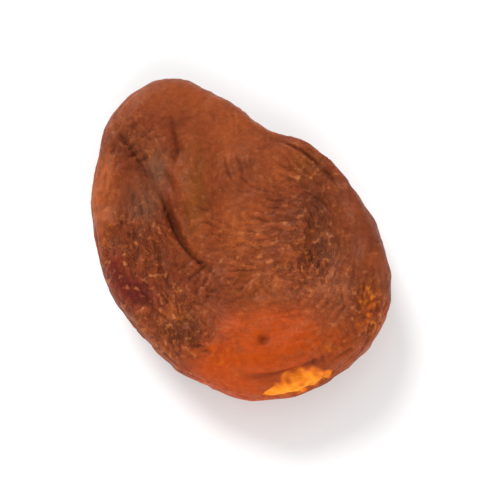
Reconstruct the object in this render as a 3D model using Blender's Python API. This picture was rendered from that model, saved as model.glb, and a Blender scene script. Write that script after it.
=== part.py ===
"""A whole dried apricot: pitted, pressed flat and dried into a thick, dished, wrinkled disc.

Metres, +Z up. It lies on its back on a small flat spot at Z = 0, with its dished side up.
+X and +Y are the directions of the outline below, which is drawn as seen from above, in
millimetres. The origin is under the middle of the fruit's box.
"""

import math

import bmesh
import bpy
import numpy as np

MM = 0.001

# The outline seen from above: a broad round body, low and right, and a narrower lobe, high and left.
OUTLINE_MM = [
    (18.4, -5.6),
    (17.2, 0.4),
    (14.1, 6.3),
    (8.8, 11.7),
    (2.6, 14.8),
    (-2.4, 18.8),
    (-7.8, 21.5),
    (-13.7, 19.6),
    (-16.9, 14.8),
    (-17.8, 10.6),
    (-18.5, 6.0),
    (-17.9, -1.3),
    (-14.7, -9.1),
    (-8.9, -15.7),
    (-1.9, -20.0),
    (4.7, -20.6),
    (11.7, -17.5),
    (16.9, -12.6),
]

# The rolled rim, at eight equal steps round from +X: half its thickness, and the height of its middle.
RIM_HALF_MM = [4.0, 3.1, 3.0, 3.6, 3.9, 4.1, 4.5, 4.3]
RIM_HEIGHT_MM = [7.0, 7.6, 7.0, 6.6, 7.0, 6.3, 6.0, 6.2]
CORE_HEIGHT_MM = 4.2  # the middle surface at the centre of the dish
CORE_UPPER_MM = 2.6  # flesh above the middle surface there
CORE_UNDER_MM = 4.6  # flesh below it, before the flat spot is pressed in
CORE_SPREAD = 1.0  # how far out the thin core reaches, as a share of the way to the rim

# Creases in the dished side: (points seen from above, depth, half width, lip height), in millimetres.
UPPER_CREASES = [
    (
        [(-15.6, 14.6), (-12.4, 11.0), (-10.7, 8.1), (-9.2, 4.4), (-7.4, 0.2), (-4.2, -3.8), (-2.6, -7.0)],
        0.9,
        1.5,
        0.5,
    ),
    ([(-8.3, 16.2), (-7.5, 12.6), (-7.8, 9.0), (-8.6, 6.2)], 0.4, 1.2, 0.1),
    ([(2.8, 9.6), (7.1, 7.5), (10.0, 3.9), (10.7, 0.0), (10.3, -4.0), (8.6, -8.1)], 0.9, 2.0, 0.2),
    ([(-4.0, -7.6), (-0.5, -8.3), (3.5, -8.4), (7.2, -7.8)], 0.5, 1.3, 0.0),
]
# Creases in the underside, which run in from the rim towards the flat spot.
UNDER_CREASES = [
    ([(-15.5, -6.6), (-10.3, -7.0), (-6.6, -9.4)], 0.8, 1.9, 0.0),
    ([(13.5, 6.6), (10.4, 2.9), (9.4, -1.8)], 0.8, 1.9, 0.0),
    ([(-9.9, 17.9), (-7.5, 12.2), (-8.5, 7.5)], 0.8, 1.9, 0.0),
]
# Swellings of the dished side: (centre, radii, height), in millimetres. The first is the stalk end's cheek.
UPPER_SWELLS = [
    ((4.2, -13.2), (7.5, 4.4), 1.3),
    ((-4.9, 6.1), (2.4, 6.6), 1.0),
    ((-9.3, 15.0), (5.5, 4.8), 1.3),
    ((0.8, 4.6), (4.5, 7.5), 0.6),
]

# The closed mouth that the stone was pressed out of, high in the rim at the stalk end.
MOUTH_ARC_DEG = (262.0, 310.0)
MOUTH_ABOVE_RIM_MM = 2.3  # above the middle of the rim
MOUTH_DEPTH_MM = 0.7
MOUTH_HALF_WIDTH_MM = 0.8
# The lip below it, which stands out from the rim.
LIP_ARC_DEG = (272.0, 302.0)
LIP_BELOW_MOUTH_MM = 1.8
LIP_OUT_MM = 0.5
LIP_HALF_WIDTH_MM = 1.1

GRID_CELLS = 26  # cells along each side of the cube that is rounded into the fruit

SKIN_COLOUR = (0.29, 0.068, 0.024, 1.0)  # dark reddish brown, linear
SKIN_ROUGHNESS = 0.48


def smooth_through(knots, values, at):
    """A smooth curve through (knot, value) pairs, read at every place in at."""
    knots, values = np.asarray(knots, float), np.asarray(values, float)
    slopes = np.gradient(values, knots, axis=0)
    i = np.clip(np.searchsorted(knots, at) - 1, 0, len(knots) - 2)
    span = knots[i + 1] - knots[i]
    t = (at - knots[i]) / span
    return (
        values[i] * (1 + 2 * t) * (1 - t) ** 2
        + values[i + 1] * t**2 * (3 - 2 * t)
        + span * (slopes[i] * t * (1 - t) ** 2 - slopes[i + 1] * t**2 * (1 - t))
    )


def round_the_rim(angles, values, at):
    """smooth_through for values that go right round the fruit and meet themselves."""
    order = np.argsort(angles)
    angles, values = np.asarray(angles)[order], np.asarray(values)[order]
    turn = 2 * math.pi
    knots = np.concatenate([angles - turn, angles, angles + turn])
    return smooth_through(knots, np.tile(values, 3), at)


def outline_radius(angle):
    """How far the outline is from the centre, in millimetres, in each direction."""
    points = np.array(OUTLINE_MM)
    angles = np.arctan2(points[:, 1], points[:, 0])
    return round_the_rim(angles, np.hypot(points[:, 0], points[:, 1]), angle)


def at_eight_steps(values, angle):
    """One of the rim's eight-step lists, read in each direction."""
    return round_the_rim(np.arange(8) * math.pi / 4, values, angle)


def smooth_step(share):
    share = np.clip(share, 0, 1)
    return share * share * (3 - 2 * share)


def path_through(points, samples=40):
    """A smooth path through hand-set points, as closely spaced points."""
    knots = np.arange(len(points))
    fine = np.linspace(0, len(points) - 1, samples)
    x, y = np.array(points, float).T
    return np.stack([smooth_through(knots, x, fine), smooth_through(knots, y, fine)], 1)


def near_path(x, y, path):
    """(distance from the path, positive on its left; share of the way along it) for each point."""
    best = np.full(x.shape, np.inf)
    side, along = np.zeros(x.shape), np.zeros(x.shape)
    for i, (start, end) in enumerate(zip(path, path[1:])):
        dx, dy = end - start
        share = np.clip(((x - start[0]) * dx + (y - start[1]) * dy) / (dx * dx + dy * dy), 0, 1)
        gap = np.hypot(x - start[0] - share * dx, y - start[1] - share * dy)
        left = dx * (y - start[1]) - dy * (x - start[0])
        nearer = gap < best
        best = np.where(nearer, gap, best)
        side = np.where(nearer, np.sign(left), side)
        along = np.where(nearer, (i + share) / (len(path) - 1), along)
    return best * side, along


def crease_height(x, y, crease):
    """A valley with a soft lip on its left side, fading out at both ends."""
    points, depth, half_width, lip = crease
    distance, along = near_path(x, y, path_through(points))
    fade = np.sin(math.pi * np.clip(along, 0, 1))
    valley = -depth * np.exp(-((distance / half_width) ** 2))
    ridge = lip * np.exp(-(((distance - 2 * half_width) / half_width) ** 2))
    return fade * (valley + ridge)


def swell_height(x, y, swell):
    """A rounded bump."""
    (cx, cy), (rx, ry), height = swell
    return height * np.exp(-((x - cx) / rx) ** 2 - ((y - cy) / ry) ** 2)


def fruit_surface(direction):
    """Where each direction out of a unit sphere lands on the fruit, in millimetres.

    A direction's bearing picks the place round the rim. Its dip below straight up picks how far
    along the cross-section the point lies: out over the dish, round the rim, and in underneath.
    """
    bearing = np.arctan2(direction[:, 1], direction[:, 0])
    dip = np.arccos(np.clip(direction[:, 2], -1, 1)) / math.pi
    upper = dip <= 0.5
    rim_radius = outline_radius(bearing)
    rim_half = at_eight_steps(RIM_HALF_MM, bearing)
    flat_run = rim_radius - rim_half

    run = (1 - np.abs(1 - 2 * dip)) * (flat_run + rim_half * math.pi / 2)
    turn = np.maximum(run - flat_run, 0) / rim_half
    out = np.minimum(run, flat_run) + rim_half * np.sin(turn)
    x, y = out * np.cos(bearing), out * np.sin(bearing)

    share_out = out / rim_radius
    middle = CORE_HEIGHT_MM + (at_eight_steps(RIM_HEIGHT_MM, bearing) - CORE_HEIGHT_MM) * share_out**2
    core = np.where(upper, CORE_UPPER_MM, CORE_UNDER_MM)
    thick = core + (rim_half - core) * smooth_step(share_out / CORE_SPREAD)
    z = middle + np.where(upper, 1, -1) * np.cos(turn) * thick

    facing = np.cos(turn)
    up_here, under_here = facing * upper, facing * ~upper
    z += up_here * sum(crease_height(x, y, c) for c in UPPER_CREASES)
    z += up_here * sum(swell_height(x, y, s) for s in UPPER_SWELLS)
    z -= under_here * sum(crease_height(x, y, c) for c in UNDER_CREASES)

    inward = np.sin(turn) * mouth_depth(z, bearing)
    x, y = x - inward * np.cos(bearing), y - inward * np.sin(bearing)
    return np.stack([x, y, np.maximum(z, 0)], axis=1)


def within_arc(bearing, start_deg, end_deg):
    """1 in the middle of an arc of the rim, falling smoothly to 0 at its ends."""
    middle = math.radians((start_deg + end_deg) / 2)
    half = math.radians((end_deg - start_deg) / 2)
    away = (bearing - middle + math.pi) % (2 * math.pi) - math.pi
    return smooth_step((1 - np.abs(away) / half) * 2)


def mouth_depth(z, bearing):
    """How far the rim is pressed in by the closed mouth, less how far its lower lip stands out."""
    above = z - at_eight_steps(RIM_HEIGHT_MM, bearing) - MOUTH_ABOVE_RIM_MM
    below = above + LIP_BELOW_MOUTH_MM
    slit = within_arc(bearing, *MOUTH_ARC_DEG) * np.exp(-((above / MOUTH_HALF_WIDTH_MM) ** 2))
    lip = within_arc(bearing, *LIP_ARC_DEG) * np.exp(-((below / LIP_HALF_WIDTH_MM) ** 2))
    return MOUTH_DEPTH_MM * slit - LIP_OUT_MM * lip


def rounded_cube():
    """A cube cut into an even grid. Its corners, seen from the centre, are the directions used."""
    grid = bmesh.new()
    bmesh.ops.create_cube(grid, size=2.0)
    bmesh.ops.subdivide_edges(grid, edges=grid.edges[:], cuts=GRID_CELLS - 1, use_grid_fill=True)
    return grid


def directions_of(grid):
    """Unit directions of the grid's points, evened out so that cells near the corners aren't small."""
    points = np.array([v.co for v in grid.verts])
    even = np.tan(np.clip(points, -1, 1) * math.pi / 4)
    return even / np.linalg.norm(even, axis=1, keepdims=True)


def merge_flat_spot(grid):
    """The faces pressed against the surface become one flat face."""
    on_floor = [f for f in grid.faces if all(v.co.z < 1e-9 for v in f.verts)]
    bmesh.ops.dissolve_faces(grid, faces=on_floor, use_verts=True)


def skin_material():
    material = bpy.data.materials.new("apricot_skin")
    material.use_nodes = True
    shader = material.node_tree.nodes["Principled BSDF"]
    shader.inputs["Base Color"].default_value = SKIN_COLOUR
    shader.inputs["Roughness"].default_value = SKIN_ROUGHNESS
    shader.inputs["Metallic"].default_value = 0.0
    return material


def make_apricot():
    grid = rounded_cube()
    places = fruit_surface(directions_of(grid))
    box_centre = (places.min(0) + places.max(0)) / 2
    places[:, :2] -= box_centre[:2]
    for vertex, place in zip(grid.verts, places * MM):
        vertex.co = place
    merge_flat_spot(grid)
    bmesh.ops.recalc_face_normals(grid, faces=grid.faces)
    mesh = bpy.data.meshes.new("apricot")
    grid.to_mesh(mesh)
    grid.free()
    mesh.shade_smooth()
    mesh.materials.append(skin_material())
    apricot = bpy.data.objects.new("apricot", mesh)
    bpy.context.scene.collection.objects.link(apricot)


def main():
    for old in list(bpy.data.objects):
        bpy.data.objects.remove(old)
    make_apricot()


main()
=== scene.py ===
"""The looks of a whole dried apricot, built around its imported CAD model.

The fruit is one piece. Its form is the CAD model's, drawn again on a much finer grid, with the
mouth's slit a little higher and the long crease a little narrower. The skin's folds, wrinkles and
pits are then raised and sunk in that grid. Lengths are in millimetres until the mesh is made, with
+Z up, +Y towards the narrow lobe, and the fruit lying on its back on the floor at Z = 0.
"""

import math

import bpy
import numpy as np
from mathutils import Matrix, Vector, kdtree, noise


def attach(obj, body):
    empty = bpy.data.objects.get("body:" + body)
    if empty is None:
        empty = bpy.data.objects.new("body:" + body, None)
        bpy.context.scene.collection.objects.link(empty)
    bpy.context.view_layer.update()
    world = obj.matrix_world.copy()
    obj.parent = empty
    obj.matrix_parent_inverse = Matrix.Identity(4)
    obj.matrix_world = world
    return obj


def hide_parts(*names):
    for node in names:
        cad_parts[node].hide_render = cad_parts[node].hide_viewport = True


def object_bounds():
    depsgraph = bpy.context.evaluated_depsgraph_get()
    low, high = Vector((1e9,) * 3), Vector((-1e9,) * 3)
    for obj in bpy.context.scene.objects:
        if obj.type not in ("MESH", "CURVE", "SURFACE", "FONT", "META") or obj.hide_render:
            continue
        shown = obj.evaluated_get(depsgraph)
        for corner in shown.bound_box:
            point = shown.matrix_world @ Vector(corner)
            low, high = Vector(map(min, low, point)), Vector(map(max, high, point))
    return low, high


MM = 0.001

# ---------------------------------------------------------------- the form, as in the CAD model

# Points round the outline, seen from above.
OUTLINE_MM = [
    (18.4, -5.6),
    (17.2, 0.4),
    (14.1, 6.3),
    (8.8, 11.7),
    (2.6, 14.8),
    (-2.4, 18.8),
    (-7.8, 21.5),
    (-13.7, 19.6),
    (-16.9, 14.8),
    (-17.8, 10.6),
    (-18.5, 6.0),
    (-17.9, -1.3),
    (-14.7, -9.1),
    (-8.9, -15.7),
    (-1.9, -20.0),
    (4.7, -20.6),
    (11.7, -17.5),
    (16.9, -12.6),
]

# The rolled rim, at eight equal steps round from +X: half its thickness, and the height of its middle.
RIM_HALF_MM = [4.0, 3.1, 3.0, 3.6, 3.9, 4.1, 4.5, 4.3]
RIM_HEIGHT_MM = [7.0, 7.6, 7.0, 6.6, 7.0, 6.3, 6.0, 6.2]
CORE_HEIGHT_MM = 4.2  # the middle surface at the centre of the dish
CORE_UPPER_MM = 2.6  # flesh above the middle surface there
CORE_UNDER_MM = 4.6  # flesh below it, before the flat spot is pressed in

# Creases in the dished side: (points seen from above, depth, half width, lip height), in millimetres.
UPPER_CREASES = [
    (
        [
            (-15.6, 14.6),
            (-12.4, 11.0),
            (-10.7, 8.1),
            (-9.2, 4.4),
            (-7.4, 0.2),
            (-4.2, -3.8),
            (-2.6, -7.0),
        ],
        0.9,
        1.4,
        0.5,
    ),
    ([(-8.3, 16.2), (-7.5, 12.6), (-7.8, 9.0), (-8.6, 6.2)], 0.4, 1.2, 0.1),
    ([(2.8, 9.6), (7.1, 7.5), (10.0, 3.9), (10.7, 0.0), (10.3, -4.0), (8.6, -8.1)], 0.9, 2.0, 0.2),
    ([(-4.0, -7.6), (-0.5, -8.3), (3.5, -8.4), (7.2, -7.8)], 0.5, 1.3, 0.0),
]
# Creases in the underside.
UNDER_CREASES = [
    ([(-15.5, -6.6), (-10.3, -7.0), (-6.6, -9.4)], 0.8, 1.9, 0.0),
    ([(13.5, 6.6), (10.4, 2.9), (9.4, -1.8)], 0.8, 1.9, 0.0),
    ([(-9.9, 17.9), (-7.5, 12.2), (-8.5, 7.5)], 0.8, 1.9, 0.0),
]
# Swellings of the dished side: (centre, radii, height), in millimetres. The first is the cheek.
UPPER_SWELLS = [
    ((4.2, -13.2), (7.5, 4.4), 1.3),
    ((-4.9, 6.1), (2.4, 6.6), 1.0),
    ((-9.3, 15.0), (5.5, 4.8), 1.3),
    ((0.8, 4.6), (4.5, 7.5), 0.6),
]

# The closed mouth that the stone was pressed out of, high in the rim at the stalk end.
MOUTH_ARC_DEG = (266.0, 309.0)
MOUTH_ABOVE_RIM_MM = 3.15  # above the middle of the rim
MOUTH_DEPTH_MM = 0.75
MOUTH_HALF_WIDTH_MM = 0.45
# The slit's dark line is painted shade.
SLIT_HALF_WIDTH_MM = 0.3  # of its dark line
# Its lower lip, which stands out.
LIP_ARC_DEG = (270.0, 304.0)
LIP_BELOW_MOUTH_MM = 1.6
LIP_OUT_MM = 0.6
LIP_HALF_WIDTH_MM = 1.0
# Where the lower lip is torn and the flesh shows.
FLESH_ARC_DEG = (277.0, 302.5)
FLESH_BELOW_MOUTH_MM = 1.6
FLESH_HALF_HEIGHT_MM = 1.9

GRID_CELLS = 128  # along each side of the cube that is rounded into the fruit

# The upward part of a normal at which the dished side starts, and the downward part at which the
# rim's lower wall and the underside start. TILT_SPAN further on, each is complete.
UPPER_STARTS = 0.1
WALL_STARTS = 0.1
UNDER_STARTS = 0.3
TILT_SPAN = 0.5


def smooth_through(knots, values, at):
    """A smooth curve through (knot, value) pairs, read at every place in at."""
    knots, values = np.asarray(knots, float), np.asarray(values, float)
    slopes = np.gradient(values, knots, axis=0)
    i = np.clip(np.searchsorted(knots, at) - 1, 0, len(knots) - 2)
    span = knots[i + 1] - knots[i]
    t = (at - knots[i]) / span
    return (
        values[i] * (1 + 2 * t) * (1 - t) ** 2
        + values[i + 1] * t**2 * (3 - 2 * t)
        + span * (slopes[i] * t * (1 - t) ** 2 - slopes[i + 1] * t**2 * (1 - t))
    )


def round_the_rim(angles, values, at):
    """smooth_through for values that go right round the fruit and meet themselves."""
    order = np.argsort(angles)
    angles, values = np.asarray(angles)[order], np.asarray(values)[order]
    turn = 2 * math.pi
    knots = np.concatenate([angles - turn, angles, angles + turn])
    return smooth_through(knots, np.tile(values, 3), at)


def outline_radius(angle):
    """How far the outline is from the centre, in millimetres, in each direction."""
    points = np.array(OUTLINE_MM)
    angles = np.arctan2(points[:, 1], points[:, 0])
    return round_the_rim(angles, np.hypot(points[:, 0], points[:, 1]), angle)


def at_eight_steps(values, angle):
    """One of the rim's eight-step lists, read in each direction."""
    return round_the_rim(np.arange(8) * math.pi / 4, values, angle)


def smooth_step(share):
    """0 up to a share of 0, 1 from a share of 1, and smooth between them."""
    share = np.clip(share, 0, 1)
    return share * share * (3 - 2 * share)


def past(tilt, start):
    """0 where a normal's tilt is under start, rising smoothly to 1 well past it."""
    return smooth_step((tilt - start) / TILT_SPAN)


def path_through(points, samples=40):
    """A smooth path through given points, as closely spaced points."""
    knots = np.arange(len(points))
    fine = np.linspace(0, len(points) - 1, samples)
    x, y = np.array(points, float).T
    return np.stack([smooth_through(knots, x, fine), smooth_through(knots, y, fine)], 1)


def near_path(x, y, path):
    """(distance from the path, positive on its left; share of the way along it) for each point."""
    best = np.full(x.shape, np.inf)
    side, along = np.zeros(x.shape), np.zeros(x.shape)
    for i, (start, end) in enumerate(zip(path, path[1:])):
        dx, dy = end - start
        share = np.clip(((x - start[0]) * dx + (y - start[1]) * dy) / (dx * dx + dy * dy), 0, 1)
        gap = np.hypot(x - start[0] - share * dx, y - start[1] - share * dy)
        left = dx * (y - start[1]) - dy * (x - start[0])
        nearer = gap < best
        best = np.where(nearer, gap, best)
        side = np.where(nearer, np.sign(left), side)
        along = np.where(nearer, (i + share) / (len(path) - 1), along)
    return best * side, along


def crease_height(x, y, crease):
    """A valley with a soft lip on its left side, fading out at both ends."""
    points, depth, half_width, lip = crease
    distance, along = near_path(x, y, path_through(points))
    fade = np.sin(math.pi * np.clip(along, 0, 1))
    valley = -depth * np.exp(-((distance / half_width) ** 2))
    ridge = lip * np.exp(-(((distance - 2 * half_width) / half_width) ** 2))
    return fade * (valley + ridge)


def swell_height(x, y, swell):
    """A rounded bump."""
    (cx, cy), (rx, ry), height = swell
    return height * np.exp(-(((x - cx) / rx) ** 2) - ((y - cy) / ry) ** 2)


def fruit_surface(direction):
    """Where each direction out of a unit sphere lands on the fruit, in millimetres."""
    bearing = np.arctan2(direction[:, 1], direction[:, 0])
    dip = np.arccos(np.clip(direction[:, 2], -1, 1)) / math.pi
    upper = dip <= 0.5
    rim_radius = outline_radius(bearing)
    rim_half = at_eight_steps(RIM_HALF_MM, bearing)
    flat_run = rim_radius - rim_half

    run = (1 - np.abs(1 - 2 * dip)) * (flat_run + rim_half * math.pi / 2)
    turn = np.maximum(run - flat_run, 0) / rim_half
    out = np.minimum(run, flat_run) + rim_half * np.sin(turn)
    x, y = out * np.cos(bearing), out * np.sin(bearing)

    share_out = out / rim_radius
    middle = CORE_HEIGHT_MM + (at_eight_steps(RIM_HEIGHT_MM, bearing) - CORE_HEIGHT_MM) * share_out**2
    core = np.where(upper, CORE_UPPER_MM, CORE_UNDER_MM)
    thick = core + (rim_half - core) * smooth_step(share_out)
    z = middle + np.where(upper, 1, -1) * np.cos(turn) * thick

    facing = np.cos(turn)
    up_here, under_here = facing * upper, facing * ~upper
    z += up_here * sum(crease_height(x, y, c) for c in UPPER_CREASES)
    z += up_here * sum(swell_height(x, y, s) for s in UPPER_SWELLS)
    z -= under_here * sum(crease_height(x, y, c) for c in UNDER_CREASES)
    inward = np.sin(turn) * mouth_depth(z, bearing)
    x, y = x - inward * np.cos(bearing), y - inward * np.sin(bearing)
    return np.stack([x, y, z], axis=1)


def within_arc(bearing, start_deg, end_deg):
    """1 in the middle of an arc of the rim, falling smoothly to 0 at its ends."""
    middle = math.radians((start_deg + end_deg) / 2)
    half = math.radians((end_deg - start_deg) / 2)
    away = (bearing - middle + math.pi) % (2 * math.pi) - math.pi
    return smooth_step((1 - np.abs(away) / half) * 2)


def mouth_depth(z, bearing):
    """How far the rim is pressed in by the closed mouth, less how far its lower lip stands out."""
    above = z - at_eight_steps(RIM_HEIGHT_MM, bearing) - MOUTH_ABOVE_RIM_MM
    below = above + LIP_BELOW_MOUTH_MM
    slit = within_arc(bearing, *MOUTH_ARC_DEG) * np.exp(-((above / MOUTH_HALF_WIDTH_MM) ** 2))
    lip = within_arc(bearing, *LIP_ARC_DEG) * np.exp(-((below / LIP_HALF_WIDTH_MM) ** 2))
    return MOUTH_DEPTH_MM * slit - LIP_OUT_MM * lip


# ---------------------------------------------------------------- the grid


def cube_grid(cells):
    """The points of a cube's surface on an even grid, each once, and its four-sided faces."""
    steps = np.arange(cells + 1)
    u, v = (a.ravel() for a in np.meshgrid(steps, steps, indexing="ij"))
    i, j = (a.ravel() for a in np.meshgrid(steps[:-1], steps[:-1], indexing="ij"))
    first = i * (cells + 1) + j
    quad = np.stack([first, first + cells + 1, first + cells + 2, first + 1], axis=1)
    points, faces = [], []
    for axis in range(3):
        for side in (0, cells):
            sheet = np.zeros((len(u), 3), int)
            sheet[:, axis] = side
            sheet[:, (axis + 1) % 3] = u
            sheet[:, (axis + 2) % 3] = v
            faces.append((quad if side else quad[:, ::-1]) + len(points) * len(u))
            points.append(sheet)
    once, index = np.unique(np.concatenate(points), axis=0, return_inverse=True)
    return once * 2 / cells - 1, index.reshape(-1)[np.concatenate(faces)]


def directions_of(cube_points):
    """Unit directions of the cube's points, evened out so that cells near the corners aren't small."""
    even = np.tan(cube_points * math.pi / 4)
    return even / np.linalg.norm(even, axis=1, keepdims=True)


def normals_of(points, faces):
    """The unit normal at each point."""
    a, b, c, d = (points[faces[:, k]] for k in range(4))
    across = np.cross(c - a, d - b)
    summed = np.zeros_like(points)
    for k in range(4):
        for axis in range(3):
            summed[:, axis] += np.bincount(faces[:, k], across[:, axis], len(points))
    return summed / np.linalg.norm(summed, axis=1, keepdims=True)


def soft_noise(points, size, seed):
    """Smooth noise from about -1 to 1, whose lumps are about size millimetres across."""
    moved = points / size + np.random.default_rng(seed).uniform(-50, 50, 3)
    return np.array([noise.noise(p) for p in moved.tolist()])


def lumps(points, kind):
    """soft_noise of one kind, which is (size across in millimetres, height, seed)."""
    size, height, seed = kind
    return height * soft_noise(points, size, seed)


# ---------------------------------------------------------------- the wrinkles

POINTS_PER_PACKET = 16
NEIGHBOURS = 12  # the packets that each packet or point listens to
PACKET_REACH = 1.3  # in spacings
TURNED_EACH_ROUND = 0.4  # the share of the packets that settle again in one round
SPACING_VARIES = (2.4, 0.45)  # (size across in millimetres, share of the spacing)

# The upward part of a normal at which the strokes below start to rule the grain, and the downward
# part at which the underside's own grain does.
STROKES_START = -0.1
UNDER_GRAIN_STARTS = 0.2
UNDER_GRAIN = (-0.5, 0.87, 0.0)  # which way it runs
OUTER_GRAIN = 0.9  # how strongly the grain runs round the rim, and along the underside
GRAIN_EVERYWHERE = 0.02  # how strongly the underside's grain shows elsewhere
ASTRAY_MM = 4.5
ASTRAY_SEEDS = (3, 4, 5)
ASTRAY = 2.6  # how strongly the grain goes its own way

# Which way the skin's wrinkles run on the dished side: (place, reach, angle from +X, strength).
GRAIN_STROKES = [
    ((1.0, -1.0), 5.5, 2.0, 1.6),
    ((3.5, 4.5), 4.5, -22.0, 1.0),
    ((-4.8, 6.0), 3.5, 100.0, 1.2),
    ((10.8, 1.0), 3.2, 98.0, 1.5),
    ((9.0, 8.0), 4.0, 140.0, 1.0),
    ((15.0, -4.0), 4.0, 84.0, 1.2),
    ((-11.5, -2.0), 4.5, 102.0, 1.4),
    ((-16.0, 4.0), 4.0, 88.0, 1.0),
    ((-9.0, -11.0), 5.0, 128.0, 0.6),
    ((4.0, -15.0), 5.5, 8.0, 0.9),
    ((-9.5, 16.0), 5.5, 35.0, 0.6),
    ((12.0, -12.0), 4.5, 55.0, 0.8),
]


def unit(vectors):
    """The same directions, each of length 1."""
    return vectors / np.maximum(np.linalg.norm(vectors, axis=1, keepdims=True), 1e-9)


def line_tensor(vectors, weight):
    """Lines without a forward end, ready to be added together."""
    return vectors[:, :, None] * vectors[:, None, :] * np.reshape(weight, (-1, 1, 1))


def grain_direction(points, normals):
    """Which way the wrinkles run at each point, as a unit vector along the skin."""
    up = past(normals[:, 2], STROKES_START)
    under = past(-normals[:, 2], UNDER_GRAIN_STARTS)
    total = np.zeros((len(points), 3, 3))
    for (cx, cy), reach, degrees, strength in GRAIN_STROKES:
        angle = math.radians(degrees)
        stroke = np.tile([math.cos(angle), math.sin(angle), 0.0], (len(points), 1))
        gap = ((points[:, 0] - cx) ** 2 + (points[:, 1] - cy) ** 2) / reach**2
        total += line_tensor(stroke, strength * up * np.exp(-gap))
    round_rim = unit(np.cross([0.0, 0.0, 1.0], points))
    total += line_tensor(round_rim, OUTER_GRAIN * (1 - up) * (1 - under))
    lengthwise = np.tile(UNDER_GRAIN, (len(points), 1))
    total += line_tensor(lengthwise, OUTER_GRAIN * under + GRAIN_EVERYWHERE)
    astray = np.stack([soft_noise(points, ASTRAY_MM, seed) for seed in ASTRAY_SEEDS], axis=1)
    total += line_tensor(astray, ASTRAY)
    flat = np.eye(3) - normals[:, :, None] * normals[:, None, :]
    _, axes = np.linalg.eigh(flat @ total @ flat)
    return axes[:, :, 2]


def wrinkle_phase(points, normals, along, spacing, seed, settle):
    """The phase of wrinkles that run along the given lines: 0 on a ridge and pi in a valley.

    Short packets of parallel waves are scattered over the skin. Each takes the phase that suits its
    neighbours over a few rounds of settling, so the waves join into wrinkles that fork and stop.
    """
    rng = np.random.default_rng(seed)
    spacing = spacing * (1 + lumps(points, (*SPACING_VARIES, seed)))
    count = len(points) // POINTS_PER_PACKET
    picked = rng.choice(len(points), count, replace=False)
    middles = points[picked]
    tree = kdtree.KDTree(count)
    for i, place in enumerate(middles.tolist()):
        tree.insert(place, i)
    tree.balance()
    across = np.cross(normals, along) * (2 * math.pi / spacing)[:, None]
    packet = across[picked]
    reach = PACKET_REACH * spacing[picked]
    phase = rng.uniform(0, 2 * math.pi, count)

    def near_packets(places, how_many):
        return np.array([[i for _, i, _ in tree.find_n(p, how_many)] for p in places.tolist()])

    def summed(places, facing, near):
        offset = places[:, None] - middles[near]
        weight = np.exp(-(offset**2).sum(-1) / reach[near] ** 2)
        angle = (offset * packet[near]).sum(-1) + phase[near]
        same_way = np.sign((packet[near] * facing[:, None]).sum(-1))
        return np.angle((weight * np.exp(1j * same_way * angle)).sum(1))

    own = near_packets(middles, NEIGHBOURS + 1)[:, 1:]
    for _ in range(settle):
        turned = rng.random(count) < TURNED_EACH_ROUND
        phase = np.where(turned, summed(middles, packet, own), phase)
    return summed(points, across, near_packets(points, NEIGHBOURS))


def wrinkles(points, normals, along, kind):
    """A wave with broad ridges and narrow valleys, from -1 to 1, for one kind of wrinkle."""
    spacing, seed, settle, sharp = kind
    phase = wrinkle_phase(points, normals, along, spacing, seed, settle)
    return 2 * (0.5 + 0.5 * np.cos(phase)) ** sharp - 1


# ---------------------------------------------------------------- the skin's own relief

# Thin folds in the dished side: (points seen from above, depth, half width), in millimetres.
THIN_FOLDS = [
    ([(-15.8, 13.8), (-14.4, 12.0), (-13.2, 10.4), (-12.2, 9.0), (-11.6, 7.4)], 0.45, 0.45),
    ([(-9.9, 6.0), (-9.2, 4.0), (-8.3, 1.6), (-7.2, -0.8), (-5.6, -2.9), (-3.6, -4.7)], 0.7, 0.32),
    ([(-12.6, 11.6), (-11.4, 9.2), (-10.6, 7.0)], 0.25, 0.35),
    ([(-8.6, 15.2), (-8.1, 13.2), (-7.7, 10.8), (-8.1, 9.0)], 0.35, 0.35),
    ([(-10.9, 8.2), (-9.3, 7.8), (-8.3, 5.6)], 0.3, 0.35),
    ([(3.6, 12.3), (6.6, 11.2), (9.6, 8.9), (11.8, 6.2), (12.6, 3.2)], 0.4, 0.5),
    ([(-3.4, -4.4), (-3.2, -6.6), (-4.2, -8.8)], 0.18, 0.4),
    ([(-13.4, 2.2), (-12.9, -1.8), (-12.4, -5.2)], 0.3, 0.45),
    ([(-10.0, -1.6), (-9.4, -5.2), (-8.4, -8.2)], 0.25, 0.4),
    ([(8.4, 2.0), (9.0, -1.0), (8.8, -4.4)], 0.15, 0.5),
    ([(-7.5, -12.6), (-5.2, -15.2), (-3.4, -16.6)], 0.35, 0.4),
]
PIT = ((2.8, -14.7), 0.5, 0.65)  # where, how deep and how wide

# Lumps of soft noise: (size across in millimetres, height, seed).
BROAD_LUMPS = (6.5, 0.4, 1)
SMALL_LUMPS = (3.0, 0.22, 2)
WRINKLED_PARTS = (3.2, 1.0, 6)
GRAIN = (1.0, 1.0, 11)
TINT_EDGES = (3.0, 0.6, 21)
FINE_TINT_EDGES = (1.1, 0.5, 22)
FLESH_MOTTLE = (0.8, 1.0, 22)
FLESH_HOLLOWS = (1.0, 0.30, 33)
FLESH_HEIGHT = (1.2, 0.35, 31)
FLESH_WANDER = (1.1, 0.35, 32)

# Wrinkles: (spacing in millimetres, seed, rounds of settling, sharpness).
COARSE_WRINKLES = (1.5, 9, 2, 0.8)
FINE_WRINKLES = (0.95, 7, 3, 0.7)
RIM_PLEATS = (4.2, 12, 3, 0.4)
RIM_FOLDS = (3.0, 13, 3, 0.6)

# How high each stands, in millimetres.
COARSE_WRINKLE_MM = 0.045
FINE_WRINKLE_MM = 0.05
GRAIN_MM = 0.14
RIM_PLEAT_MM = 0.16
RIM_FOLD_MM = 0.12
DISH_FOLD_MM = 0.06
FLESH_EDGE_MM = 0.14
FLESH_SUNK_MM = 0.28

UNPLEATED_ARC_DEG = (265.0, 312.0)  # around the mouth
PLEAT_SLANT = 0.25

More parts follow.
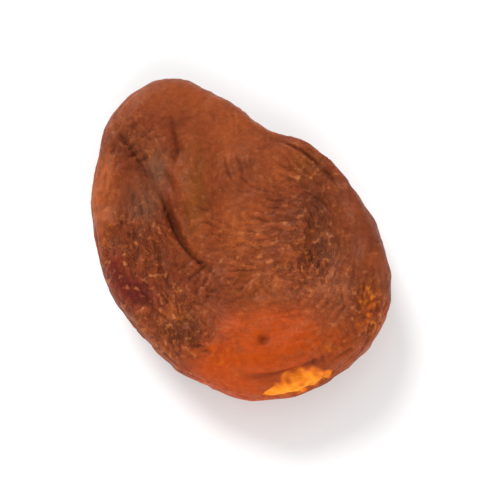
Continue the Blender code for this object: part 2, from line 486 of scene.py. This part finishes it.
# How strong the wrinkles and the grain are in each kind of place.
LEAST_WRINKLED = 0.2
MIDDLE_WRINKLED = 0.45
BUSY_WRINKLES = 0.5
PLAIN_GRAIN = 0.25
BUSY_GRAIN = 1.1
# The share of each that a smooth place loses.
WRINKLES_SMOOTHED = 0.85
GRAIN_SMOOTHED = 0.8
CRAZING_SMOOTHED = 0.6
# How much crazing there is all over, and how much more of it outside the dished side.
PLAIN_CRAZING = 0.2
OUTER_CRAZING = 0.3

# How dark each hollow is painted, as painted shade: in the thin folds and the pit, the wrinkles'
# valleys, the grain's dips and the mouth's slit.
FOLD_DARK = 1.8
COARSE_DARK = 0.18
FINE_DARK = 0.3
GRAIN_DARK = 0.4
EVEN_DARK = 0.05
SLIT_DARK = 0.7
TINT_TRIM = 0.1  # taken off each tint's share, so that its edge is clear
UNDER_FADED = 0.6  # the share of each tint and hollow that the underside loses
# Painted shade: the torn flesh's share is lowered where it is sunk, so that it darkens in its hollows.
FLESH_SHADED_WHEN_SUNK = 0.1  # for each millimetre that it is sunk

# How a thin fold's lips lie: their height beside its depth, and, in its half widths, how far out
# they are and how wide.
FOLD_LIP = 0.35
FOLD_LIP_OUT = 2.4
FOLD_LIP_WIDTH = 1.4
FOLD_ENDS = 0.4  # how quickly it fades out at its ends, from 0, at once, to 1, slowly

# The torn flesh and the slit lie on the rim: they start this share of the way out to the outline,
# and are complete a span further out.
LIP_ZONE_STARTS = 0.8
LIP_ZONE_SPAN = 0.1
LENS_ROUNDNESS = 0.7  # how blunt the ends of the torn flesh are: less is blunter
THINNEST_LENS = 0.01  # so that nothing is divided by 0

# Where the dished side is smooth: patches seen from above, each (centre, reach, strength).
SMOOTH_PLACES = [
    ((3.6, -14.8), (6.8, 5.0), 1.0),
    ((-3.0, -18.6), (5.0, 2.5), 1.0),
    ((-9.0, 18.0), (6.5, 4.5), 1.0),
    ((14.6, -0.5), (2.6, 5.5), 1.0),
]
# Where it is finely crazed.
BUSY_PLACES = [
    ((-10.0, -11.0), (5.5, 5.5), 1.0),
    ((-5.5, -15.0), (4.0, 2.6), 0.8),
    ((15.8, -11.0), (3.2, 4.0), 1.0),
    ((9.0, -3.5), (4.5, 7.5), 0.8),
    ((-13.6, 12.0), (3.0, 3.0), 0.7),
    ((1.0, -2.0), (6.5, 6.0), 0.4),
    ((-15.6, -3.0), (3.0, 4.0), 0.6),
    ((-11.5, -1.5), (3.0, 5.0), 0.5),
    ((8.5, 7.5), (3.5, 3.0), 0.5),
]
# Where the skin has another colour, and where painted shade, painted sheen and painted golden glints
# lie.
TINTED_PLACES = {
    "amber": [
        ((-17.4, 4.6), (2.2, 5.0), 1.2),
        ((-8.0, 18.0), (6.0, 3.5), 0.3),
        ((-0.2, 0.2), (4.2, 4.2), 0.85),
        ((1.8, -7.2), (4.5, 2.2), 0.7),
        ((-9.0, -10.0), (2.6, 2.6), 0.6),
        ((16.3, -10.9), (2.0, 2.8), 0.35),
        ((7.6, -13.2), (2.6, 1.8), 0.5),
    ],
    "olive": [
        ((-5.8, 5.4), (1.7, 6.4), 0.9),
        ((9.0, 8.6), (3.0, 2.4), 0.7),
    ],
    # A grey that paints sheen and shade on slopes beside the creases.
    "grey_sheen_and_shade": [
        ((-10.6, 8.2), (1.8, 3.4), 1.0),
        ((-12.6, 3.0), (2.6, 3.6), 0.7),
        ((10.6, -4.0), (2.2, 4.5), 0.4),
    ],
    # A dark tone that is partly painted shade, as in the valley inside the right rim.
    "dark_tone_and_shade": [
        ((9.4, 2.6), (2.2, 5.2), 0.75),
        ((-14.2, 11.8), (2.4, 2.0), 0.6),
        ((13.5, -2.5), (3.5, 7.0), 0.5),
        ((0.0, 8.6), (3.8, 3.2), 0.45),
        ((5.6, 1.5), (3.2, 3.2), 0.3),
        ((-6.8, -13.8), (2.8, 2.2), 0.9),
        ((15.4, -10.6), (2.6, 3.4), 0.35),
        ((6.4, -17.6), (3.4, 0.9), 0.8),
        ((12.6, -15.2), (3.6, 2.6), 0.3),
    ],
    "crimson": [
        ((-15.2, -5.4), (1.4, 2.0), 1.15),
        ((-13.2, -7.8), (1.8, 1.6), 1.25),
        ((-10.6, -9.6), (2.2, 1.4), 1.1),
        ((7.6, 13.0), (3.0, 1.4), 0.7),
        ((11.5, 8.2), (1.6, 2.4), 0.5),
    ],
    # Where golden glints are painted on the grainy skin.
    "gold_glints": [
        ((16.2, -10.8), (2.2, 2.9), 1.2),
        ((-8.6, -13.0), (4.5, 3.5), 0.75),
        ((-16.0, -2.5), (2.5, 3.5), 0.5),
        ((8.6, -3.5), (3.5, 6.0), 0.4),
        ((-1.5, -18.0), (2.2, 1.4), 0.8),
        ((11.2, -15.8), (1.6, 1.0), 0.6),
    ],
    "cheek": [
        ((3.4, -15.4), (6.4, 4.8), 1.6),
        ((-1.6, -19.4), (5.2, 3.0), 1.3),
        ((16.2, -10.8), (2.4, 3.2), 0.5),
        ((12.6, -15.4), (3.2, 2.2), 0.3),
    ],
}


def fold_relief(x, y, fold):
    """A thin groove with a low lip on each side, fading out at both ends."""
    points, depth, half_width = fold
    distance, along = near_path(x, y, path_through(points))
    fade = np.sin(math.pi * np.clip(along, 0, 1)) ** FOLD_ENDS
    past_lip = (np.abs(distance) - FOLD_LIP_OUT * half_width) / (FOLD_LIP_WIDTH * half_width)
    lips = FOLD_LIP * np.exp(-(past_lip**2))
    return depth * fade * (lips - np.exp(-np.abs(distance) / half_width))


def patch(points, centre, reach):
    """1 at a place in the plan of the fruit, falling smoothly to 0 around it."""
    rx, ry = reach
    return np.exp(-(((points[:, 0] - centre[0]) / rx) ** 2) - ((points[:, 1] - centre[1]) / ry) ** 2)


def in_places(points, places):
    """How strongly each point is in the places, all added up."""
    return sum(strength * patch(points, centre, reach) for centre, reach, strength in places)


def detailed_fruit():
    """(points in millimetres, faces, what each point's skin is like, with its painted shade and glints,
    as named shares from 0 to 1).
    """
    cube, faces = cube_grid(GRID_CELLS)
    points = fruit_surface(directions_of(cube))
    normals = normals_of(points, faces)
    lumpy = lumps(points, BROAD_LUMPS) + lumps(points, SMALL_LUMPS)
    points = points + normals * lumpy[:, None]
    up = past(normals[:, 2], UPPER_STARTS)
    folds = up * sum(fold_relief(points[:, 0], points[:, 1], fold) for fold in THIN_FOLDS)
    where, deep, wide = PIT
    folds = folds - deep * up * patch(points, where, (wide, wide))
    normals = normals_of(points, faces)
    along = grain_direction(points, normals)

    smooth_skin = up * np.clip(in_places(points, SMOOTH_PLACES), 0, 1)
    busy = up * np.clip(in_places(points, BUSY_PLACES), 0, 1)
    strength = LEAST_WRINKLED + smooth_step(MIDDLE_WRINKLED + lumps(points, WRINKLED_PARTS))
    strength = strength * (1 - WRINKLES_SMOOTHED * smooth_skin) * (1 + BUSY_WRINKLES * busy)
    coarse = wrinkles(points, normals, along, COARSE_WRINKLES)
    fine = wrinkles(points, normals, along, FINE_WRINKLES)

    wall = past(-normals[:, 2], WALL_STARTS)
    upright = unit(np.array([0.0, 0.0, 1.0]) - normals * normals[:, 2:3] + PLEAT_SLANT * along)
    pleats = wrinkles(points, normals, upright, RIM_PLEATS)
    folded = wrinkles(points, normals, along, RIM_FOLDS)
    away_from_lip = 1 - within_arc(np.arctan2(points[:, 1], points[:, 0]), *UNPLEATED_ARC_DEG)
    grain = lumps(points, GRAIN) * (PLAIN_GRAIN + BUSY_GRAIN * busy)
    grain = grain * (1 - GRAIN_SMOOTHED * smooth_skin)
    relief = folds + strength * (COARSE_WRINKLE_MM * coarse + FINE_WRINKLE_MM * fine) + GRAIN_MM * grain
    on_wall = away_from_lip * wall * (RIM_PLEAT_MM * pleats + RIM_FOLD_MM * folded)
    relief += on_wall + DISH_FOLD_MM * (1 - wall) * folded * (1 - smooth_skin)

    flesh, slit = torn_lip(points)
    sunk = smooth_step(flesh / 0.4) * (FLESH_SUNK_MM + lumps(points, FLESH_HOLLOWS))
    relief += FLESH_EDGE_MM * np.sin(math.pi * np.clip(flesh / 0.3, 0, 1)) - sunk
    points = points + normals * relief[:, None]
    points[:, 2] = np.maximum(points[:, 2], 0)
    centre = (points.min(0) + points.max(0)) / 2
    points[:, :2] -= centre[:2]

    ragged = 1 + lumps(points, TINT_EDGES) + lumps(points, FINE_TINT_EDGES)
    shares = {
        name: ragged * (in_places(points, places) - TINT_TRIM)
        for name, places in TINTED_PLACES.items()
    }
    # Painted shade: the valley share darkens the skin in the thin folds and the pit, in the wrinkles'
    # valleys, in the grain's dips and in the mouth's slit.
    shade_in_wrinkles = strength * (EVEN_DARK - COARSE_DARK * coarse - FINE_DARK * fine)
    shares["valley"] = -folds * FOLD_DARK + shade_in_wrinkles - GRAIN_DARK * grain + SLIT_DARK * slit
    under = past(-normals[:, 2], UNDER_STARTS)
    shares = {name: share * (1 - UNDER_FADED * under) for name, share in shares.items()}
    # The flesh's share is lowered where it is sunk, as painted shade.
    shares["flesh"] = flesh * (1 + lumps(points, FLESH_MOTTLE)) - FLESH_SHADED_WHEN_SUNK * sunk
    crazed = (PLAIN_CRAZING + (1 - PLAIN_CRAZING) * busy) * (1 - CRAZING_SMOOTHED * smooth_skin)
    shares["busy"] = crazed + OUTER_CRAZING * (1 - up)
    shares["lengthwise"] = smooth_step(along[:, 1] ** 2)
    return points, faces, {name: np.clip(value, 0, 1) for name, value in shares.items()}


def torn_lip(points):
    """(how far inside the lower lip's torn flesh, how far inside the mouth's slit) for each point."""
    bearing = np.arctan2(points[:, 1], points[:, 0])
    above = points[:, 2] - at_eight_steps(RIM_HEIGHT_MM, bearing) - MOUTH_ABOVE_RIM_MM
    share_out = np.hypot(points[:, 0], points[:, 1]) / outline_radius(bearing)
    on_rim = smooth_step((share_out - LIP_ZONE_STARTS) / LIP_ZONE_SPAN)
    slit = on_rim * within_arc(bearing, *MOUTH_ARC_DEG) * np.exp(-((above / SLIT_HALF_WIDTH_MM) ** 2))
    start, end = np.radians(FLESH_ARC_DEG)
    away = ((bearing - (start + end) / 2 + math.pi) % (2 * math.pi) - math.pi) * 2 / (end - start)
    lens = np.clip(1 - away**2, THINNEST_LENS, 1) ** LENS_ROUNDNESS
    tall = FLESH_HALF_HEIGHT_MM * lens * (1 + lumps(points, FLESH_HEIGHT))
    below = above + FLESH_BELOW_MOUTH_MM + lumps(points, FLESH_WANDER)
    flesh = np.clip(1 - np.abs(below / tall), 0, 1) * (np.abs(away) < 1)
    return on_rim * flesh, slit


def fruit_object():
    points, faces, shares = detailed_fruit()
    mesh = bpy.data.meshes.new("dried_apricot")
    mesh.from_pydata((points * MM).tolist(), [], faces.tolist())
    mesh.shade_smooth()
    for name, value in shares.items():
        mesh.attributes.new(name, "FLOAT", "POINT").data.foreach_set("value", value.astype(np.float32))
    obj = bpy.data.objects.new("dried_apricot", mesh)
    bpy.context.scene.collection.objects.link(obj)
    return obj


# ---------------------------------------------------------------- the skin's material

SKIN_DARK = (0.130, 0.021, 0.007)
SKIN_MIDDLE = (0.226, 0.043, 0.012)
SKIN_LIGHT = (0.334, 0.074, 0.017)
TINTS = {
    "amber": (0.378, 0.084, 0.017),
    "olive": (0.211, 0.058, 0.009),
    # Painted sheen and painted shade.
    "grey_sheen_and_shade": (0.180, 0.068, 0.034),
    # A dark tone, partly painted shade.
    "dark_tone_and_shade": (0.106, 0.026, 0.010),
    "crimson": (0.125, 0.008, 0.009),
    "cheek": (0.425, 0.051, 0.001),
}
TINT_SHARE = 0.85
TORN_EDGE = (0.560, 0.100, 0.006)
FLESH = (0.970, 0.300, 0.017)
# The colour of painted golden glints.
GOLD_GLINT = (0.640, 0.165, 0.009)
GLINT = (0.520, 0.165, 0.048)
# This tint is multiplied in as painted shade, in the hollows and in the crazing's grooves.
HOLLOW_SHADE_TINT = (0.42, 0.34, 0.34)
DUST_TINT = (0.50, 0.42, 0.42)

# How big the skin's patterns are, in millimetres.
BROAD_PATTERN_MM = 7.0
MOTTLE_MM = 1.6
DUST_MM = 0.4
GOLD_GLINT_MM = 0.7
GOLD_GLINT_GROUP_MM = 1.2
CRAZING_MM = 1.0
GLINT_MM = 0.42
DIMPLE_MM = 0.9
PORE_MM = 0.30

# How deep their bumps are, in millimetres.
DIMPLE_DEPTH_MM = 0.12
PORE_DEPTH_MM = 0.12
CRAZING_DEPTH_MM = -0.16
GLINT_HEIGHT_MM = 0.10

SUBSURFACE = 0.25
SUBSURFACE_RADIUS = (1.0, 0.28, 0.08)
SUBSURFACE_SCALE_M = 0.0013
SPECULAR = 0.14
SPECULAR_TINT = (1.0, 0.8, 0.55, 1.0)
COAT = 0.02
COAT_ROUGHNESS = 0.28

RANGE_INPUTS = ("From Min", "From Max", "To Min", "To Max")


class Nodes:
    """Short ways to add and join a material's nodes."""

    def __init__(self, material):
        material.use_nodes = True
        self.tree = material.node_tree
        self.shader = self.tree.nodes["Principled BSDF"]
        self.place = self.add("ShaderNodeTexCoord").outputs["Object"]

    def add(self, kind, **settings):
        node = self.tree.nodes.new(kind)
        for name, value in settings.items():
            setattr(node, name, value)
        return node

    def join(self, source, target):
        self.tree.links.new(source, target)

    def put(self, value, target):
        if isinstance(value, bpy.types.NodeSocket):
            self.join(value, target)
        elif isinstance(value, tuple):
            target.default_value = (*value, 1.0)
        else:
            target.default_value = value

    def share(self, name):
        """One of the mesh's named shares."""
        return self.add("ShaderNodeAttribute", attribute_name=name).outputs["Fac"]

    def noise(self, size_mm, detail=3.0, roughness=0.55, stretch=(1, 1, 1)):
        """Noise from 0 to 1 whose lumps are about size_mm across, longer where stretch is under 1."""
        mapping = self.add("ShaderNodeMapping")
        mapping.inputs["Scale"].default_value = stretch
        self.join(self.place, mapping.inputs["Vector"])
        texture = self.add("ShaderNodeTexNoise")
        texture.inputs["Scale"].default_value = 0.5 / (size_mm * MM)
        texture.inputs["Detail"].default_value = detail
        texture.inputs["Roughness"].default_value = roughness
        self.join(mapping.outputs["Vector"], texture.inputs["Vector"])
        return texture.outputs["Fac"]

    def crazing(self, size_mm, stretch):
        """1 in fine wandering grooves about size_mm apart and 0 between them."""
        height = self.noise(size_mm, 4.0, 0.65, stretch)
        away = self.maths("ABSOLUTE", self.maths("ADD", height, -0.5))
        return self.ranged(away, 0.07, 0.0)

    def beads(self, size_mm):
        """1 at the middle of each bead and 0 between them."""
        texture = self.add("ShaderNodeTexVoronoi", feature="SMOOTH_F1")
        texture.inputs["Scale"].default_value = 1 / (size_mm * MM)
        texture.inputs["Smoothness"].default_value = 0.4
        self.join(self.place, texture.inputs["Vector"])
        return self.ranged(texture.outputs["Distance"], 0.65, 0.1)

    def ranged(self, value, low, high, to_low=0.0, to_high=1.0):
        """A smooth step from to_low, where value is low, to to_high, where it is high."""
        node = self.add("ShaderNodeMapRange", interpolation_type="SMOOTHSTEP")
        for name, setting in zip(RANGE_INPUTS, (low, high, to_low, to_high)):
            node.inputs[name].default_value = setting
        self.join(value, node.inputs["Value"])
        return node.outputs["Result"]

    def mixed(self, share, first, second, blend="MIX"):
        node = self.add("ShaderNodeMix", data_type="RGBA", blend_type=blend)
        self.put(share, node.inputs[0])
        self.put(first, node.inputs[6])
        self.put(second, node.inputs[7])
        return node.outputs[2]

    def maths(self, operation, first, second=0.0):
        node = self.add("ShaderNodeMath", operation=operation)
        self.put(first, node.inputs[0])
        self.put(second, node.inputs[1])
        return node.outputs[0]

    def times(self, first, second):
        return self.maths("MULTIPLY", first, second)

    def bump(self, height, depth_mm, under=None):
        node = self.add("ShaderNodeBump")
        node.inputs["Distance"].default_value = depth_mm * MM
        self.join(height, node.inputs["Height"])
        if under is not None:
            self.join(under, node.inputs["Normal"])
        return node.outputs["Normal"]


def skin_material():
    material = bpy.data.materials.new("apricot_skin")
    n = Nodes(material)
    broad = n.noise(BROAD_PATTERN_MM, 3.0)
    mottle = n.noise(MOTTLE_MM, 4.0, 0.6)
    dust = n.noise(DUST_MM, 3.0, 0.6)
    colour = n.mixed(n.ranged(broad, 0.30, 0.70), SKIN_DARK, SKIN_LIGHT)
    colour = n.mixed(0.55, colour, SKIN_MIDDLE)
    colour = n.mixed(n.ranged(mottle, 0.50, 0.78, 0.0, 0.55), colour, SKIN_LIGHT)
    colour = n.mixed(n.ranged(mottle, 0.48, 0.25, 0.0, 0.55), colour, SKIN_DARK)
    for name, tint in TINTS.items():
        colour = n.mixed(n.times(n.share(name), TINT_SHARE), colour, tint)
    # Painted highlights: golden glints in small beads, in groups.
    glint_specks = n.times(n.beads(GOLD_GLINT_MM), n.ranged(n.noise(GOLD_GLINT_GROUP_MM), 0.38, 0.60))
    colour = n.mixed(n.times(glint_specks, n.share("gold_glints")), colour, GOLD_GLINT)
    colour = n.mixed(n.ranged(n.share("flesh"), 0.0, 0.4), colour, TORN_EDGE)
    colour = n.mixed(n.ranged(n.share("flesh"), 0.10, 0.85), colour, FLESH)

    lengthwise = n.crazing(CRAZING_MM, (1, 0.6, 1))
    crosswise = n.crazing(CRAZING_MM, (0.6, 1, 1))
    crazed = n.mixed(n.share("lengthwise"), crosswise, lengthwise)
    # The crazing's grooves are darkened with painted shade, as well as sunk by a bump.
    shaded_gaps = n.times(n.times(crazed, n.share("busy")), 0.9)
    glints = n.times(n.ranged(n.noise(GLINT_MM, 1.0), 0.56, 0.78), n.share("busy"))
    colour = n.mixed(glints, colour, GLINT)
    colour = n.mixed(shaded_gaps, colour, HOLLOW_SHADE_TINT, "MULTIPLY")
    # Painted shade in the hollows.
    colour = n.mixed(n.share("valley"), colour, HOLLOW_SHADE_TINT, "MULTIPLY")
    colour = n.mixed(n.ranged(dust, 0.62, 0.35, 0.0, 0.25), colour, DUST_TINT, "MULTIPLY")
    n.join(colour, n.shader.inputs["Base Color"])

    rough = n.ranged(mottle, 0.3, 0.75, 0.55, 0.36)
    rough = n.maths("ADD", rough, n.times(n.share("valley"), 0.15))
    n.join(rough, n.shader.inputs["Roughness"])
    n.shader.inputs["Subsurface Weight"].default_value = SUBSURFACE
    n.shader.inputs["Subsurface Radius"].default_value = SUBSURFACE_RADIUS
    n.shader.inputs["Subsurface Scale"].default_value = SUBSURFACE_SCALE_M
    n.shader.inputs["Specular IOR Level"].default_value = SPECULAR
    n.shader.inputs["Specular Tint"].default_value = SPECULAR_TINT
    n.shader.inputs["Coat Weight"].default_value = COAT
    n.shader.inputs["Coat Roughness"].default_value = COAT_ROUGHNESS

    normal = n.bump(n.noise(DIMPLE_MM, 3.0, 0.6), DIMPLE_DEPTH_MM)
    normal = n.bump(n.noise(PORE_MM, 3.0, 0.65), PORE_DEPTH_MM, normal)
    normal = n.bump(shaded_gaps, CRAZING_DEPTH_MM, normal)
    normal = n.bump(glints, GLINT_HEIGHT_MM, normal)
    n.join(normal, n.shader.inputs["Normal"])
    return material


# ---------------------------------------------------------------- the studio

SKY_LOW = 1.05  # the sky's strength near the horizon
SKY_HIGH = 0.5  # and overhead
SKY_BAND = (0.05, 0.75)  # the heights between which it changes, 1 being straight up
FLOOR_SIDE_M = 4
FLOOR_DROP_M = 0.0001  # so that the floor is just clear of the flat spot
FLOOR_COLOUR = (0.9, 0.9, 0.9, 1)
FLOOR_ROUGHNESS = 0.9
# Soft suns: (name, the way to it, how wide it looks in degrees, strength).
SUNS = [
    ("key", (-0.30, 0.45, 0.45), 32, 2.4),
    ("fill", (0.05, -0.60, 0.40), 45, 1.95),
]
LENS_MM = 180
SENSOR_MM = 36
CAMERA_ELEVATION_DEG = 68
CAMERA_DISTANCE_M = 0.30


def studio_sky():
    """A plain sky, white near the horizon and dimmer overhead."""
    world = bpy.data.worlds.new("studio")
    world.use_nodes = True
    tree = world.node_tree
    place = tree.nodes.new("ShaderNodeTexCoord")
    split = tree.nodes.new("ShaderNodeSeparateXYZ")
    ranged = tree.nodes.new("ShaderNodeMapRange")
    for name, setting in zip(RANGE_INPUTS, (*SKY_BAND, SKY_LOW, SKY_HIGH)):
        ranged.inputs[name].default_value = setting
    tree.links.new(place.outputs["Generated"], split.inputs[0])
    tree.links.new(split.outputs["Z"], ranged.inputs["Value"])
    tree.links.new(ranged.outputs["Result"], tree.nodes["Background"].inputs["Strength"])
    tree.nodes["Background"].inputs["Color"].default_value = (1, 1, 1, 1)
    return world


def add_floor():
    bpy.ops.mesh.primitive_plane_add(size=FLOOR_SIDE_M, location=(0, 0, -FLOOR_DROP_M))
    floor = bpy.context.object
    floor.name = "floor"
    paint = bpy.data.materials.new("floor")
    paint.use_nodes = True
    shader = paint.node_tree.nodes["Principled BSDF"]
    shader.inputs["Base Color"].default_value = FLOOR_COLOUR
    shader.inputs["Roughness"].default_value = FLOOR_ROUGHNESS
    floor.data.materials.append(paint)


def add_sun(name, towards, width_deg, strength):
    light = bpy.data.lights.new(name, "SUN")
    light.angle = math.radians(width_deg)
    light.energy = strength
    sun = bpy.data.objects.new(name, light)
    sun.rotation_euler = (-Vector(towards)).to_track_quat("-Z", "Y").to_euler()
    bpy.context.scene.collection.objects.link(sun)


def add_camera(centre):
    """A camera that looks down on the centre from the stalk end's side."""
    data = bpy.data.cameras.new("camera")
    data.lens = LENS_MM
    data.sensor_width = SENSOR_MM
    camera = bpy.data.objects.new("camera", data)
    elevation = math.radians(CAMERA_ELEVATION_DEG)
    away = Vector((0, -math.cos(elevation), math.sin(elevation)))
    camera.location = centre + away * CAMERA_DISTANCE_M
    camera.rotation_euler = (centre - camera.location).to_track_quat("-Z", "Y").to_euler()
    bpy.context.scene.collection.objects.link(camera)
    bpy.context.scene.camera = camera


def studio(low, high):
    """The sky, floor, lights and camera around the box from low to high."""
    bpy.context.scene.view_settings.view_transform = "Standard"
    bpy.context.scene.world = studio_sky()
    add_floor()
    for sun in SUNS:
        add_sun(*sun)
    add_camera((low + high) / 2)


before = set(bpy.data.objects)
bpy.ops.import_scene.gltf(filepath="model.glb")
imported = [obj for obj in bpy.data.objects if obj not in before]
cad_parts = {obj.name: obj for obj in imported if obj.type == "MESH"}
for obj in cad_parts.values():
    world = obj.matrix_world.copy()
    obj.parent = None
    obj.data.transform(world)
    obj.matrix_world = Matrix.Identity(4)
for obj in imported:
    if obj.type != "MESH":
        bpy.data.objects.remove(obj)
cad_low, cad_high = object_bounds()
fruit = fruit_object()
fruit.data.materials.append(skin_material())
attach(fruit, "root")
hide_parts("apricot")
studio(cad_low, cad_high)
